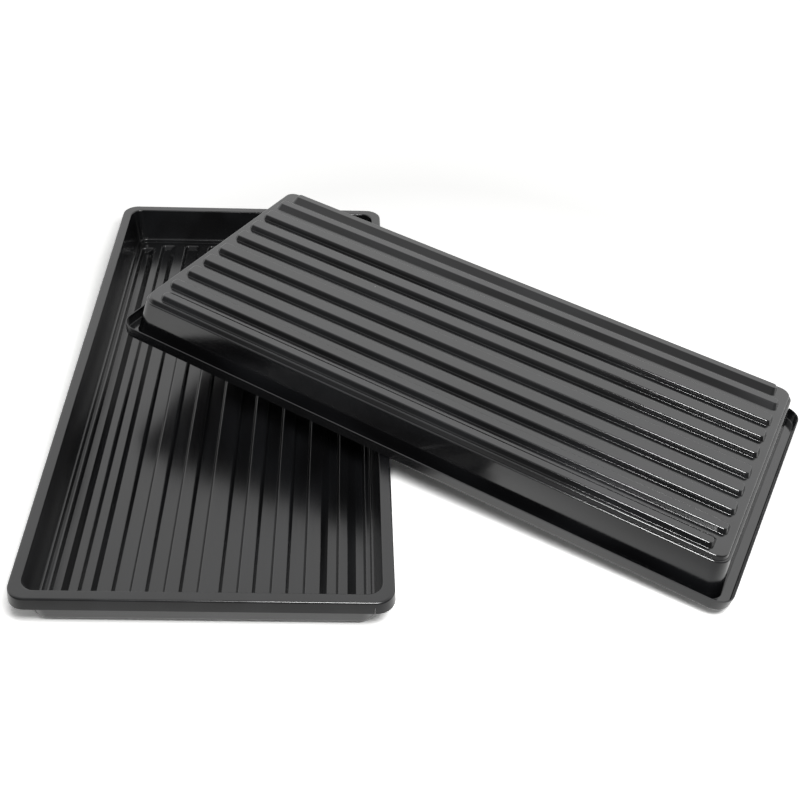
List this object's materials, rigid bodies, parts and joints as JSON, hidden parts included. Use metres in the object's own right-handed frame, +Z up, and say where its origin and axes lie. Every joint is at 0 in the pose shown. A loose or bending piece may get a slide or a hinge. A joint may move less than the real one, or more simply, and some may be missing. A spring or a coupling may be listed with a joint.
{
  "type": "microgreen growing tray",
  "caption": "Shallow thermoformed growing tray with lengthwise drainage channels, and an identical tray turned over and laid askew across its rim as a cover.",
  "frame": {"origin": "under the middle of the whole set's bounding box, on the surface that the trays stand on", "axes": "+Z up; +Y along the growing tray's length; +X across it, towards the side on which the cover tray leans down"},
  "size_m": [0.6362, 0.5416, 0.1042],
  "materials": {
    "black_plastic": "satin"
  },
  "bodies": {
    "growing_tray": {"growing_tray": "black_plastic"},
    "cover_tray": {"cover_tray": "black_plastic"}
  },
  "joints": [
    {"name": "cover_lift", "type": "slide", "parent": "growing_tray", "child": "cover_tray", "axis": [0, 0, 1], "range_m": [0, 0.15]}
  ]
}
